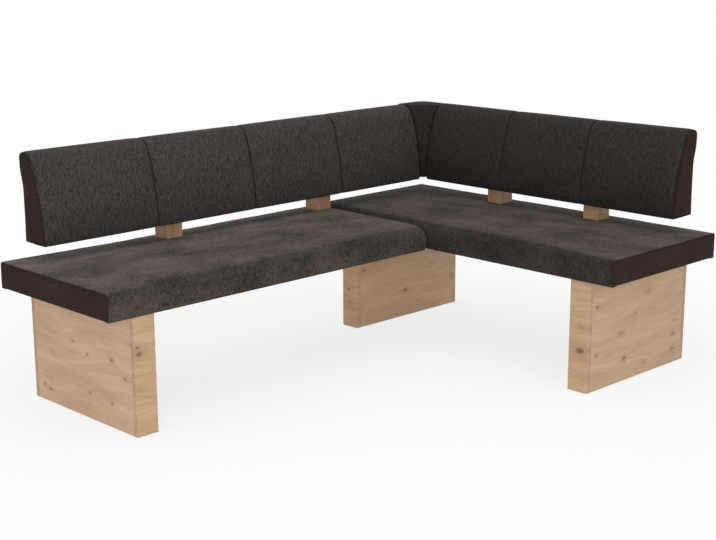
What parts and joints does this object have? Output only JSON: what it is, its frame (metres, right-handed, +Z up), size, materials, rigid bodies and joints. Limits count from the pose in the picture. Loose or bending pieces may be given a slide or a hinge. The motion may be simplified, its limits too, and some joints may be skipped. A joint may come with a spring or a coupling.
{
  "type": "corner bench",
  "caption": "L-shaped upholstered dining corner bench: padded seats on broad oak-decor panel legs, with a sewn panelled backrest carried on square wooden posts.",
  "frame": {"origin": "middle of the bench's overall plan, on the floor under the glides", "axes": "+X along the long bench towards the corner, +Y from the room towards the wall behind the long bench, +Z up"},
  "size_m": [2.02, 1.42, 0.8431],
  "materials": {
    "oak_decor": "matt oak-decor foil",
    "oak_post": "matt lacquer",
    "chipboard": "raw chipboard",
    "softwood": "planed, raw",
    "thin_board": "raw hardboard",
    "woven_fabric": "fine chenille weave",
    "brown_fabric": "plain close weave",
    "foam": "open-cell foam",
    "dark_lining": "thin non-woven",
    "zinc_steel": "zinc plated",
    "glide_plastic": "matt"
  },
  "bodies": {
    "root": {"back_end_rails": "softwood", "corner_block": "softwood", "corner_cover": "woven_fabric", "corner_foam": "foam", "corner_leg_core_rails": "chipboard", "corner_leg_edge_boards": "oak_decor", "corner_leg_inner_board": "oak_decor", "corner_leg_outer_board": "oak_decor", "frame_screws": "zinc_steel", "left_leg_core_rails": "chipboard", "left_leg_edge_boards": "oak_decor", "left_leg_inner_board": "oak_decor", "left_leg_outer_board": "oak_decor", "leg_brackets": "zinc_steel", "leg_glides": "glide_plastic", "long_back_cover_1": "woven_fabric", "long_back_cover_2": "woven_fabric", "long_back_cover_3": "woven_fabric", "long_back_cover_4": "woven_fabric", "long_back_end_panel": "brown_fabric", "long_back_foam": "foam", "long_back_front_board": "thin_board", "long_back_rails": "softwood", "long_back_rear_board": "thin_board", "long_back_rear_cover": "woven_fabric", "long_corner_post": "oak_post", "long_end_post": "oak_post", "long_seat_cover": "woven_fabric", "long_seat_cross_rails": "softwood", "long_seat_deck": "thin_board", "long_seat_end_panel": "brown_fabric", "long_seat_foam": "foam", "long_seat_front_rail": "softwood", "long_seat_lining": "dark_lining", "long_seat_rear_rails": "softwood", "post_bolts": "zinc_steel", "right_leg_core_rails": "chipboard", "right_leg_edge_boards": "oak_decor", "right_leg_inner_board": "oak_decor", "right_leg_outer_board": "oak_decor", "seat_joint_plates": "zinc_steel", "short_back_cover_1": "woven_fabric", "short_back_cover_2": "woven_fabric", "short_back_cover_3": "woven_fabric", "short_back_end_panel": "brown_fabric", "short_back_foam": "foam", "short_back_front_board": "thin_board", "short_back_rails": "softwood", "short_back_rear_board": "thin_board", "short_back_rear_cover": "woven_fabric", "short_corner_post": "oak_post", "short_end_post": "oak_post", "short_seat_cover": "woven_fabric", "short_seat_cross_rails": "softwood", "short_seat_deck": "thin_board", "short_seat_end_panel": "brown_fabric", "short_seat_foam": "foam", "short_seat_front_rail": "softwood", "short_seat_lining": "dark_lining", "short_seat_rear_rails": "softwood"}
  },
  "joints": []
}
